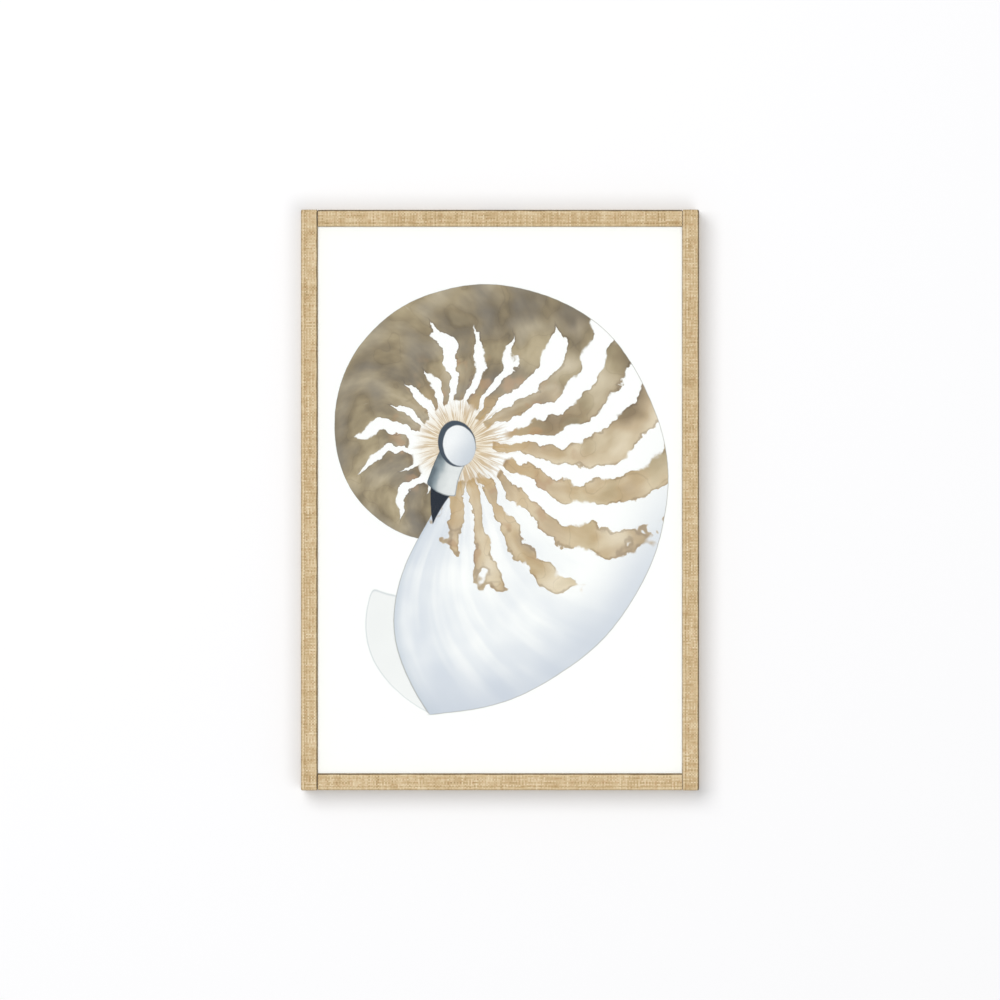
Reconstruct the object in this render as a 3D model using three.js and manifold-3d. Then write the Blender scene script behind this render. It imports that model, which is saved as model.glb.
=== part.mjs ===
// A picture frame wrapped in linen, holding a print behind glass, made to hang on a nail.
//
// Millimetres, +Z up. The picture faces -Y, and the wall is on its +Y side. The origin is the
// place where the nail bears, in the middle notch of the sawtooth hanger.
import * as THREE from "three";
import { mergeVertices } from "three/addons/utils/BufferGeometryUtils.js";
import Module from "manifold-3d";

// Opening through which the print shows, and the wrapped moulding round it.
const sightWidth = 400;
const sightHeight = 600;
const faceWidth = 18.4;
const frameDepth = 28;
const edgeRadius = 2.2;
const clothThickness = 0.8;
const gap = 0.3;

// Rabbet in the moulding's back inner edge, which holds the glass, print and board.
const lipDepth = 5;
const rabbetWidth = 5.5;
const packClearance = 0.5;
const glassThickness = 2;
const printThickness = 0.5;
const boardThickness = 3;

// Cloth turned over on to the back, and left off beside the rabbet.
const backFlap = 11.5;

// Framer's points, pressed into the rabbet wall behind the board.
const pointLength = 15;
const pointWidth = 6;
const pointThickness = 0.6;
const pointInWood = 6.5;
const pointTip = 2.6;
const pointTailCorner = 1;
const pointHoleRadius = 0.9;
const pointsPerStile = 3;
const pointsPerRail = 2;

// Corrugated fasteners, driven across the corner joints from the back.
const fastenerLength = 22;
const fastenerHeight = 10;
const fastenerThickness = 0.8;
const fastenerWave = 0.9;
const fastenerPitch = 6;
const fastenerSteps = 30;
const fastenerFromEdge = 7;

// Sawtooth hanger, a steel strip whose raised middle has teeth along its lower edge.
const hangerLength = 48;
const hangerTop = 8.3;
const hangerThickness = 1.2;
const hangerRaise = 1.5;
const raisedLength = 31;
const toothDepth = 1.2;
const toothPitch = 2;
const toothCount = 13;
const hangerBelowTop = 10.5;

// Pan-head screws through the hanger's ends.
const screwRadius = 1.5;
const screwLength = 12;
const screwTip = 2.5;
const screwHeadRadius = 2.9;
const screwHeadHeight = 1.4;
const screwSpacing = 41;
const screwHeight = 3.5;
const recessWidth = 0.8;
const recessLength = 3.2;
const recessDepth = 0.9;

// Rubber bumpers on the lower back.
const bumperRadius = 4.75;
const bumperThickness = 3.5;
const bumperChamfer = 0.5;
const bumperFromSide = 6.3;
const bumperFromBottom = 30;

const arcSegments = 6;
const roundSegments = 32;

// Sizes that follow.
const outerWidth = sightWidth + 2 * faceWidth;
const outerHeight = sightHeight + 2 * faceWidth;
const woodInset = clothThickness + gap;
const rabbetWall = faceWidth - rabbetWidth;
const clothLedge = lipDepth + gap + clothThickness;
const packWidth = sightWidth + 2 * (rabbetWidth - packClearance);
const packHeight = sightHeight + 2 * (rabbetWidth - packClearance);
const glassDepth = clothLedge + gap;
const printDepth = glassDepth + glassThickness + gap;
const boardDepth = printDepth + printThickness + gap;
const pointDepth = boardDepth + boardThickness + gap;
const hangerDepth = frameDepth + gap + hangerRaise + hangerThickness / 2;

const linen = new THREE.MeshStandardMaterial({ color: 0xd2bb94, roughness: 0.95 });
const wood = new THREE.MeshStandardMaterial({ color: 0xd0ad7c, roughness: 0.7 });
const glass = new THREE.MeshStandardMaterial({ color: 0xf4fbf8, roughness: 0.05 });
const paper = new THREE.MeshStandardMaterial({ color: 0xfbfbf8, roughness: 0.9 });
const hardboard = new THREE.MeshStandardMaterial({ color: 0x8b6b4c, roughness: 0.85 });
const steel = new THREE.MeshStandardMaterial({ color: 0xb9bcc0, roughness: 0.35, metalness: 1 });
const rubber = new THREE.MeshStandardMaterial({ color: 0x3c3a38, roughness: 0.8 });

const wasm = await Module();
wasm.setup();

// Boolean work: geometry to solid, and back.
function solid(geometry) {
  const bare = geometry.clone();
  bare.deleteAttribute("normal");
  bare.deleteAttribute("uv");
  const merged = mergeVertices(bare, 1e-4);
  return new wasm.Manifold(new wasm.Mesh({
    numProp: 3,
    vertProperties: new Float32Array(merged.attributes.position.array),
    triVerts: new Uint32Array(merged.index.array),
  }));
}

function geometryOf(manifold) {
  const { vertProperties, triVerts } = manifold.getMesh();
  const geometry = new THREE.BufferGeometry();
  geometry.setAttribute("position", new THREE.BufferAttribute(vertProperties, 3));
  geometry.setIndex(new THREE.BufferAttribute(triVerts, 1));
  geometry.computeVertexNormals();
  return geometry;
}

function cut(geometry, cutters) {
  let body = solid(geometry);
  for (const cutter of cutters) body = body.subtract(solid(cutter));
  return geometryOf(body);
}

function named(name, geometry, material) {
  const mesh = new THREE.Mesh(geometry, material);
  mesh.name = name;
  return mesh;
}

// A box between two corners, each given as [x, y, z].
function block(low, high) {
  const size = high.map((value, axis) => value - low[axis]);
  const middle = high.map((value, axis) => (value + low[axis]) / 2);
  return new THREE.BoxGeometry(...size).translate(...middle);
}

// A flat shape in X and Y, given a length along Z with z = 0 in its middle.
function bar(shape, length) {
  const options = { depth: length, bevelEnabled: false, curveSegments: arcSegments };
  return new THREE.ExtrudeGeometry(shape, options).translate(0, 0, -length / 2);
}

// The same shape laid in X and Z instead, with a thickness from y = 0 towards +Y.
function plate(shape, thickness) {
  return bar(shape, thickness).rotateX(Math.PI / 2).translate(0, thickness / 2, 0);
}

// A rod along Y, from y = 0 towards +Y, given by [radius, y] pairs that start and end on its axis.
function turned(profile) {
  return new THREE.LatheGeometry(profile.map(([radius, y]) => new THREE.Vector2(radius, y)), roundSegments);
}

// Moulding. Each member is made along its own Z, with its outer side on x = 0, its sight edge on
// x = faceWidth and its face on y = 0, and is then turned into its place.

// Cross-section of the wrapped member, drawn in by an inset: both front edges and the outer back
// edge are rounded.
function section(inset) {
  const radius = edgeRadius - inset;
  const far = faceWidth - inset;
  const back = frameDepth - inset;
  const shape = new THREE.Shape();
  shape.moveTo(inset + radius, inset);
  shape.lineTo(far - radius, inset);
  shape.absarc(far - radius, inset + radius, radius, -Math.PI / 2, 0, false);
  shape.lineTo(far, back);
  shape.lineTo(inset + radius, back);
  shape.absarc(inset + radius, back - radius, radius, Math.PI / 2, Math.PI, false);
  shape.lineTo(inset, inset + radius);
  shape.absarc(inset + radius, inset + radius, radius, Math.PI, 1.5 * Math.PI, false);
  return shape;
}

// The rabbet's space: everything inside of a wall and behind a ledge, over a length.
function rabbetSpace(wall, ledge, length) {
  return block([wall, ledge, -length / 2], [2 * faceWidth, 2 * frameDepth, length / 2]);
}

// Wood core. A stile's rabbet stops short of its ends, so that the rails butt against full wood.
function core(length, rabbetLength, cutters) {
  return cut(bar(section(woodInset), length), [rabbetSpace(rabbetWall, lipDepth, rabbetLength), ...cutters]);
}

// Linen skin. It covers the face and both sides, turns in under the lip, and laps on to the back.
// coreRoom is the length of the room for the core: longer than the cloth where the ends are open.
function skin(length, coreRoom, rabbetLength, cutters) {
  const rabbetCloth = rabbetLength - 2 * gap;
  const room = solid(bar(section(clothThickness), coreRoom))
    .subtract(solid(rabbetSpace(rabbetWall + gap, lipDepth + gap, rabbetCloth)));
  const bareBack = block(
    [backFlap, frameDepth - clothThickness, -length / 2 + backFlap],
    [2 * faceWidth, 2 * frameDepth, length / 2 - backFlap],
  );
  const openings = [rabbetSpace(rabbetWall + gap, clothLedge, rabbetCloth), bareBack, ...cutters];
  return cut(geometryOf(solid(bar(section(0), length)).subtract(room)), openings);
}

// A framer's point: a thin steel tab with a pointed end in the wood and a holed tail on the board.
function pointShape() {
  const half = pointWidth / 2;
  const start = rabbetWall - pointInWood;
  const end = start + pointLength;
  const shape = new THREE.Shape();
  shape.moveTo(start, 0);
  shape.lineTo(start + pointTip, -half);
  shape.lineTo(end - pointTailCorner, -half);
  shape.lineTo(end, -half + pointTailCorner);
  shape.lineTo(end, half - pointTailCorner);
  shape.lineTo(end - pointTailCorner, half);
  shape.lineTo(start + pointTip, half);
  shape.closePath();
  const hole = new THREE.Path();
  hole.absarc(end - half, 0, pointHoleRadius, 0, 2 * Math.PI, true);
  shape.holes.push(hole);
  return shape;
}

function pointSlot(z) {
  const half = pointWidth / 2 + gap;
  return block(
    [rabbetWall - pointInWood - gap, pointDepth - gap, z - half],
    [rabbetWall + gap, pointDepth + pointThickness + gap, z + half],
  );
}

// Even places along a member, such as the middles of equal shares of the opening.
function places(count, span) {
  return Array.from({ length: count }, (_, index) => span * ((index + 0.5) / count - 0.5));
}

// Corrugated fastener: a wavy strip along X, driven from y = 0 towards -Y.
function fastener(clearance) {
  const half = fastenerThickness / 2 + clearance;
  const length = fastenerLength + 2 * clearance;
  const wave = 2 * Math.PI / fastenerPitch;
  const steps = Array.from({ length: fastenerSteps + 1 }, (_, index) => index / fastenerSteps - 0.5);
  const along = steps.map((share) => length * share);
  const edge = (side) => along.map((x) => {
    const slope = fastenerWave * wave * Math.cos(wave * x);
    const reach = side * half / Math.hypot(1, slope);
    return new THREE.Vector2(x - slope * reach, fastenerWave * Math.sin(wave * x) + reach);
  });
  const shape = new THREE.Shape([...edge(-1), ...edge(1).reverse()]);
  const height = fastenerHeight + 2 * clearance;
  return plate(shape, height).translate(0, clearance - height, 0);
}

// Sawtooth hanger, with y = 0 in the middle of its raised strip and z = 0 at the notches' tops.
function hanger() {
  const half = hangerLength / 2;
  const step = raisedLength / 2;
  const lean = hangerThickness * (Math.SQRT2 - 1);
  const top = hangerThickness / 2;
  const side = new THREE.Shape();
  side.moveTo(-half, top - hangerRaise);
  side.lineTo(-step - hangerRaise, top - hangerRaise);
  side.lineTo(-step, top);
  side.lineTo(step, top);
  side.lineTo(step + hangerRaise, top - hangerRaise);
  side.lineTo(half, top - hangerRaise);
  side.lineTo(half, -top - hangerRaise);
  side.lineTo(step + hangerRaise - lean, -top - hangerRaise);
  side.lineTo(step - lean, -top);
  side.lineTo(lean - step, -top);
  side.lineTo(lean - step - hangerRaise, -top - hangerRaise);
  side.lineTo(-half, -top - hangerRaise);
  side.closePath();
  const bent = bar(side, 4 * hangerTop);

  const corner = 2;
  const outline = new THREE.Shape();
  outline.moveTo(corner - half, -toothDepth);
  for (const middle of places(toothCount, toothCount * toothPitch)) {
    outline.lineTo(middle - toothPitch / 2, -toothDepth);
    outline.lineTo(middle, 0);
  }
  outline.lineTo(toothCount * toothPitch / 2, -toothDepth);
  outline.lineTo(half - corner, -toothDepth);
  outline.absarc(half - corner, corner - toothDepth, corner, -Math.PI / 2, 0, false);
  outline.absarc(half - corner, hangerTop - corner, corner, 0, Math.PI / 2, false);
  outline.absarc(corner - half, hangerTop - corner, corner, Math.PI / 2, Math.PI, false);
  outline.absarc(corner - half, corner - toothDepth, corner, Math.PI, 1.5 * Math.PI, false);
  for (const x of [-screwSpacing / 2, screwSpacing / 2]) {
    const hole = new THREE.Path();
    hole.absarc(x, screwHeight, screwRadius + gap, 0, 2 * Math.PI, true);
    outline.holes.push(hole);
  }
  const thick = 4 * hangerThickness;
  return geometryOf(solid(bent).intersect(solid(plate(outline, thick).translate(0, -thick / 2, 0))));
}

// Pan-head screw with a cross recess. y = 0 is under its head, which is on the +Y side.
function screw() {
  const rim = 0.5;
  const body = turned([
    [0, -screwLength],
    [screwRadius, screwTip - screwLength],
    [screwRadius, 0],
    [screwHeadRadius, 0],
    [screwHeadRadius, screwHeadHeight - rim],
    [screwHeadRadius - rim, screwHeadHeight],
    [0, screwHeadHeight],
  ]);
  const low = screwHeadHeight - recessDepth;
  const high = 2 * screwHeadHeight;
  const long = recessLength / 2;
  const short = recessWidth / 2;
  return cut(body, [
    block([-long, low, -short], [long, high, short]),
    block([-short, low, -long], [short, high, long]),
  ]);
}

const picture = new THREE.Group();
picture.position.set(0, -hangerDepth, hangerBelowTop - outerHeight / 2);

// Corner fasteners and their slots. Places here and below are measured from the middle of the
// picture's face.
const fastenerSlots = [];
for (const [row, z] of [["top", 1], ["bottom", -1]]) {
  for (const [column, x] of [["left", -1], ["right", 1]]) {
    const place = [x * sightWidth / 2, frameDepth, z * (outerHeight / 2 - fastenerFromEdge)];
    fastenerSlots.push(fastener(gap).translate(...place));
    const wiggle = named(`corner_fastener_${row}_${column}`, fastener(0), steel);
    wiggle.position.set(...place);
    picture.add(wiggle);
  }
}

// Hanger screws: their holes and the screws themselves.
const screwHoles = [];
for (const [column, side] of [["left", -1], ["right", 1]]) {
  const x = side * screwSpacing / 2;
  const z = outerHeight / 2 - hangerBelowTop + screwHeight;
  const under = hangerDepth - hangerRaise + hangerThickness / 2 + gap;
  const width = screwRadius + gap;
  const reach = screwLength + gap;
  screwHoles.push(turned([[0, -reach], [width, -reach], [width, gap], [0, gap]]).translate(x, under, z));
  const mesh = named(`hanger_screw_${column}`, screw(), steel);
  mesh.position.set(x, under, z);
  picture.add(mesh);
}

const members = [
  { name: "left_stile", x: -outerWidth / 2, z: 0, turn: 0, stile: true },
  { name: "top_rail", x: 0, z: outerHeight / 2, turn: Math.PI / 2, stile: false },
  { name: "right_stile", x: outerWidth / 2, z: 0, turn: Math.PI, stile: true },
  { name: "bottom_rail", x: 0, z: -outerHeight / 2, turn: -Math.PI / 2, stile: false },
];

for (const { name, x, z, turn, stile } of members) {
  const member = new THREE.Group();
  member.position.set(x, 0, z);
  member.rotation.y = turn;
  member.updateMatrix();

  const length = stile ? outerHeight : sightWidth - 2 * gap;
  const rabbetLength = stile ? sightHeight + 2 * rabbetWidth : 2 * length;
  const coreLength = stile ? length - 2 * woodInset : length;
  const coreRoom = stile ? length - 2 * clothThickness : 2 * length;
  const pointPlaces = stile ? places(pointsPerStile, sightHeight) : places(pointsPerRail, sightWidth);

  // Slots and holes that were placed on the whole picture, brought into this member's own axes.
  const inward = member.matrix.clone().invert();
  const holes = [...fastenerSlots, ...screwHoles].map((hole) => hole.clone().applyMatrix4(inward));

  member.add(named(name, core(coreLength, rabbetLength, [...holes, ...pointPlaces.map(pointSlot)]), wood));
  member.add(named(`${name}_linen`, skin(length, coreRoom, rabbetLength, holes), linen));
  pointPlaces.forEach((place, index) => {
    const tab = named(`${name}_point_${index + 1}`, plate(pointShape(), pointThickness), steel);
    tab.position.set(0, pointDepth, place);
    member.add(tab);
  });
  picture.add(member);
}

// What the rabbet holds, from the front to the back.
const pack = [
  ["glass_pane", glassDepth, glassThickness, glass],
  ["art_print", printDepth, printThickness, paper],
  ["backing_board", boardDepth, boardThickness, hardboard],
];
for (const [name, depth, thickness, material] of pack) {
  const sheet = named(name, new THREE.BoxGeometry(packWidth, thickness, packHeight), material);
  sheet.position.set(0, depth + thickness / 2, 0);
  picture.add(sheet);
}

// What is fixed on the back.
const strip = named("sawtooth_hanger", hanger(), steel);
strip.position.set(0, hangerDepth, outerHeight / 2 - hangerBelowTop);
picture.add(strip);

for (const [column, side] of [["left", -1], ["right", 1]]) {
  const profile = [
    [0, 0],
    [bumperRadius, 0],
    [bumperRadius, bumperThickness - bumperChamfer],
    [bumperRadius - bumperChamfer, bumperThickness],
    [0, bumperThickness],
  ];
  const bumper = named(`bumper_${column}`, turned(profile), rubber);
  bumper.position.set(
    side * (outerWidth / 2 - bumperFromSide),
    frameDepth + gap,
    bumperFromBottom - outerHeight / 2,
  );
  picture.add(bumper);
}

const group = new THREE.Group();
group.add(picture);

export default group;
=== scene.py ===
# A picture frame wrapped in natural linen, with a watercolour of a nautilus behind its glass,
# hung on a white wall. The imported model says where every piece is; this script gives the pieces
# their surfaces, in metres and in the same frame: the picture faces -Y and the wall is behind it.
import math

import bmesh
import bpy
import numpy as np
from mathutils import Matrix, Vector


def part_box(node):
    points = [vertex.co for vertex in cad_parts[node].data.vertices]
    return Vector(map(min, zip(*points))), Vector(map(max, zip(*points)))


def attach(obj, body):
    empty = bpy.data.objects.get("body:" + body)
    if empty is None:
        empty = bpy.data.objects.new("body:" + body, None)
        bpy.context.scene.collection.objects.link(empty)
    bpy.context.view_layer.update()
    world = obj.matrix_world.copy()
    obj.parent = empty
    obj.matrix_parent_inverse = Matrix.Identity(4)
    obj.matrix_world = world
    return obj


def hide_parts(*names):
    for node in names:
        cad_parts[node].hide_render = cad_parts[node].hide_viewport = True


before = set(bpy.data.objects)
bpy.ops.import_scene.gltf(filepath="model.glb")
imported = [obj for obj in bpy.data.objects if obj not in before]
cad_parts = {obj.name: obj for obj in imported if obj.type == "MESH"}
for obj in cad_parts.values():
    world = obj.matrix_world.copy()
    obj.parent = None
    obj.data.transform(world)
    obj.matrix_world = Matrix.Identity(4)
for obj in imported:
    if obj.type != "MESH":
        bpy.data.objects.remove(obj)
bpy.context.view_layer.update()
MM = 0.001


# Wooden cores. Four lengths of planed softwood, two stiles that run the full height and two rails
# between them, with a rabbet along the back inner edge. The linen hides all but the back's inner
# edge and the rabbet wall, where the bare wood shows.
class Wire:
    """An output of a node in a material or a Geometry Nodes tree. Arithmetic on it adds Math nodes."""

    def __init__(self, socket):
        self.socket = socket
        self.tree = socket.id_data

    def node(self, kind, settings=None, sockets=None, output=0):
        """Adds a node, with its settings first and then its sockets' values or links."""
        made = self.tree.nodes.new(kind if "Node" in kind else "ShaderNode" + kind)
        for name, value in (settings or {}).items():
            if name == "stops":
                set_stops(made.color_ramp, value)
            else:
                setattr(made, name, value)
        for name, value in (sockets or {}).items():
            target = live(made.inputs, name)
            wires = value if isinstance(value, list) else [value]
            for wire in wires:
                if isinstance(wire, Wire):
                    self.tree.links.new(wire.socket, target)
                else:
                    target.default_value = wire
        return Wire(live(made.outputs, output)) if len(made.outputs) else None

    def math(self, operation, *others):
        values = dict(enumerate((self, *others)))
        return self.node("Math", {"operation": operation}, values)

    def __add__(self, other):
        return self.math("ADD", other)

    def __sub__(self, other):
        return self.math("SUBTRACT", other)

    def __rsub__(self, other):
        return (self * -1) + other

    def __mul__(self, other):
        return self.math("MULTIPLY", other)

    def __truediv__(self, other):
        return self.math("DIVIDE", other)

    def __pow__(self, other):
        return self.math("POWER", other)

    def __abs__(self):
        return self.math("ABSOLUTE")

    __radd__ = __add__
    __rmul__ = __mul__

    def rise(self, low, high):
        """0 up to low and 1 from high on, smoothly; the other way round if high is below low."""
        sockets = {"Value": self, "From Min": low, "From Max": high}
        return self.node("MapRange", {"interpolation_type": "SMOOTHSTEP"}, sockets)

    def bell(self, middle, width):
        """1 at the middle, falling away to nothing about a width off on either side."""
        off = (self - middle) / width
        return (off * off * -2).math("EXPONENT")

    def between(self, first, second):
        """first where this is 0 and second where it is 1, for plain values."""
        return self.node("Mix", {"data_type": "FLOAT"}, {"Factor": self, "A": first, "B": second})

    def split(self):
        made = self.node("SeparateXYZ", {}, {"Vector": self}).socket.node
        return [Wire(socket) for socket in made.outputs]

    def noise(self, scale, detail=2.0, roughness=0.5, warp=0.0):
        """Fractal noise from 0 to 1 on a vector, with its features about 1 / scale apart."""
        sockets = {"Vector": self, "Scale": scale, "Detail": detail, "Roughness": roughness}
        return self.node("TexNoise", {}, {**sockets, "Distortion": warp})


def live(sockets, key):
    """A socket in use, by its name or by its place among those in use."""
    used = [socket for socket in sockets if socket.enabled]
    return used[key] if isinstance(key, int) else next(s for s in used if s.name == key)


def set_stops(ramp, stops):
    while len(ramp.elements) < len(stops):
        ramp.elements.new(1.0)
    for element, (position, colour) in zip(ramp.elements, stops):
        element.position = position
        element.color = colour


def vector(x, y, z):
    """Three plain values or wires as one vector; at least one is a wire."""
    wire = next(value for value in (x, y, z) if isinstance(value, Wire))
    return wire.node("CombineXYZ", {}, {"X": x, "Y": y, "Z": z})


def painted(factor, under, over, blend="MIX"):
    """One colour laid over another by a factor."""
    settings = {"data_type": "RGBA", "blend_type": blend, "clamp_factor": True}
    return factor.node("Mix", settings, {"Factor": factor, "A": under, "B": over})


def relief(height, distance, strength=1.0):
    """A normal for a height from 0 to 1 that stands for a real distance."""
    return height.node("Bump", {}, {"Height": height, "Distance": distance, "Strength": strength})


def new_material(name):
    """A material with no nodes but its object coordinates."""
    material = bpy.data.materials.new(name)
    material.use_nodes = True
    material.node_tree.nodes.clear()
    coordinates = material.node_tree.nodes.new("ShaderNodeTexCoord")
    return material, Wire(coordinates.outputs["Object"])


def finish_with(place, sockets):
    """Ends a material in a Principled shader with these sockets."""
    shader = place.node("BsdfPrincipled", {}, sockets)
    place.node("OutputMaterial", {}, {"Surface": shader})


def rgb(red, green, blue):
    """A colour in 0 to 255 screen values as linear ones."""
    shares = [value / 255 for value in (red, green, blue)]
    return (*[s / 12.92 if s <= 0.04045 else ((s + 0.055) / 1.055) ** 2.4 for s in shares], 1.0)


def softwood(name, turn):
    """Pale softwood with its grain along Z, or turned about Y to lie along X."""
    material, place = new_material(name)
    turned = place.node("Mapping", {}, {"Vector": place, "Rotation": (0, turn, 0)})
    x, y, z = turned.split()
    sway = vector(x, y, z * 0.04).noise(60, 3.0)
    rings = ((x * 420 + y * 160 + sway * 7).math("SINE") * 0.5 + 0.5) ** 1.6
    fibre = vector(x, y, z * 0.02).noise(2600, 3.0)
    pale = painted(rings, rgb(226, 196, 150), rgb(196, 152, 100))
    colour = painted(fibre.rise(0.35, 0.75) * 0.5, pale, rgb(176, 132, 86))
    rough = fibre * 0.2 + 0.6
    normal = relief(fibre + rings * 0.5, 0.12 * MM)
    finish_with(place, {"Base Color": colour, "Roughness": rough, "Normal": normal})
    return material


def dress(node, material):
    """Gives a CAD node a new material."""
    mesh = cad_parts[node].data
    mesh.materials.clear()
    mesh.materials.append(material)


for name, turn in (("softwood_upright", 0.0), ("softwood_level", math.pi / 2)):
    wood = softwood(name, turn)
    nodes = ("left_stile", "right_stile") if turn == 0 else ("top_rail", "bottom_rail")
    for node in nodes:
        dress(node, wood)


# Linen wraps. Each member is covered by one strip of undyed plain-weave linen, glued on: it
# starts on the ledge under the glass, comes round the lip, over the face and down the outer
# side, and is trimmed on the back. A stile's strip is also folded over both of its ends.
PITCH = 1.7 * MM
STEP = PITCH / 2
WEAVE_HEIGHT = 0.11 * MM
SLUB_HEIGHT = 0.1 * MM
WANDER = 0.2 * MM
CORNER = 1.4 * MM
FLAP = 11.5 * MM
FOLD_LIFT = 0.25 * MM
WOOD_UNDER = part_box("left_stile_linen")[1].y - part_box("left_stile")[1].y
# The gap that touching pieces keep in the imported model.
GLUE_GAP = 0.3 * MM
# Where the rings of points lie down a cut edge, from the cloth's face to the wood.
CUT_EDGE = np.array([0.0, 0.12, 0.5, 1.0])

left_low, left_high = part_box("left_stile_linen")
rail_low, rail_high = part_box("top_rail_linen")
glass_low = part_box("glass_pane")[0]
face_width = left_high.x - left_low.x
depth = left_high.y - left_low.y
face_y = left_low.y
ledge_depth = glass_low.y - face_y - GLUE_GAP
rabbet_width = left_high.x - glass_low.x + 0.2 * MM
centre_x = (left_low.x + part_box("right_stile_linen")[1].x) / 2
centre_z = (left_low.z + left_high.z) / 2
outer_width = 2 * (centre_x - left_low.x)
outer_height = left_high.z - left_low.z


def rounded_path(corners, radius):
    """Arc lengths, points and outward normals, closely spaced, on a path with rounded corners."""
    corners = [np.array(corner, float) for corner in corners]
    points = [corners[0]]
    for before, here, after in zip(corners, corners[1:], corners[2:]):
        back = (before - here) / np.linalg.norm(before - here)
        on = (after - here) / np.linalg.norm(after - here)
        for angle in np.linspace(0, math.pi / 2, 9):
            points.append(here + radius * (back * (1 - math.sin(angle)) + on * (1 - math.cos(angle))))
    points = np.array([*points, corners[-1]])
    length = np.concatenate([[0], np.cumsum(np.linalg.norm(np.diff(points, axis=0), axis=1))])
    fine = np.linspace(0, length[-1], 2000)
    points = np.stack([np.interp(fine, length, points[:, axis]) for axis in (0, 1)], axis=1)
    tangent = np.gradient(points, axis=0)
    tangent /= np.linalg.norm(tangent, axis=1, keepdims=True)
    return fine, points, np.stack([-tangent[:, 1], tangent[:, 0]], axis=1)


def smooth_noise(seed, along, across, wave):
    """Gentle noise, about -1 to 1, whose features are a wave apart."""
    random = np.random.default_rng(seed)
    total = np.zeros(np.broadcast(along, across).shape)
    for _ in range(7):
        angle, phase = random.uniform(0, 2 * math.pi, 2)
        pace = random.uniform(0.6, 1.6) * 2 * math.pi / wave
        total = total + np.sin(pace * (along * math.cos(angle) + across * math.sin(angle)) + phase)
    return total / 3.5


class Cloth:
    """A mesh of woven patches in a member's own axes: across from its outer side towards the
    sight edge, back from its face, and along it."""

    def __init__(self, seed, dark_at, dark_side):
        self.seed, self.dark_at, self.dark_side = seed, dark_at, dark_side
        self.points, self.faces, self.weave = [], [], []
        self.count = 0

    def height(self, thread, run):
        """The weave's relief at a distance across the strip and one along it."""
        crown = np.sin(math.pi * thread / PITCH) ** 2 * np.sin(math.pi * run / PITCH) ** 2
        uneven = smooth_noise(self.seed + 1, thread, run, 3 * PITCH)
        slub = smooth_noise(self.seed + 2, thread, run * 0.12, 2.2 * PITCH)
        return WEAVE_HEIGHT * (crown * (1 + 0.35 * uneven) - 0.5) + SLUB_HEIGHT * np.maximum(slub - 0.5, 0)

    def patch(self, across, back, along, thread, run):
        """Adds a grid of points, with each one's distances across and along the strip."""
        rows, columns = across.shape
        number = np.arange(rows * columns).reshape(rows, columns) + self.count
        quads = np.stack([number[:-1, :-1], number[1:, :-1], number[1:, 1:], number[:-1, 1:]], axis=-1)
        self.faces.append(quads.reshape(-1, 4))
        self.points.append(np.stack([across, back, along], axis=-1).reshape(-1, 3))
        self.weave.append(np.stack([thread, run], axis=-1).reshape(-1, 2))
        self.count += rows * columns

    def placed(self, name, turn, corner):
        """The patches as one mesh object, turned about the depth axis into the member's place."""
        across, back, along = np.concatenate(self.points).T
        cos, sin = math.cos(turn), math.sin(turn)
        x = corner[0] + across * cos + along * sin
        z = corner[1] - across * sin + along * cos
        faces = np.concatenate(self.faces)
        mesh = bpy.data.meshes.new(name)
        mesh.from_pydata(np.stack([x, face_y + back, z], axis=1).tolist(), [], faces.tolist())
        weave = np.concatenate(self.weave)
        from_dark = self.dark_side * (weave[:, 0] - self.dark_at)
        edge = mesh.attributes.new("from_dark_edge", "FLOAT", "POINT")
        edge.data.foreach_set("value", from_dark.astype(np.float32))
        weave = weave + PITCH * 400 * (1 + self.seed)
        layer = mesh.uv_layers.new(name="weave")
        layer.data.foreach_set("uv", weave[faces.reshape(-1)].astype(np.float32).reshape(-1))
        build = bmesh.new()
        build.from_mesh(mesh)
        bmesh.ops.remove_doubles(build, verts=build.verts, dist=0.02 * MM)
        build.to_mesh(mesh)
        build.free()
        mesh.shade_smooth()
        return mesh_object(name, mesh)


def mesh_object(name, mesh):
    made = bpy.data.objects.new(name, mesh)
    bpy.context.scene.collection.objects.link(made)
    return made


def steps(low, high):
    """Places from low to high, half a thread apart."""
    return np.append(np.arange(low, high - STEP / 4, STEP), high)


def on_path(path, distance, lift):
    """Places at distances along a path, raised off it along its normals."""
    length, points, normals = path
    return [
        np.interp(distance, length, points[:, axis]) + lift * np.interp(distance, length, normals[:, axis])
        for axis in (0, 1)
    ]


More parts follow.
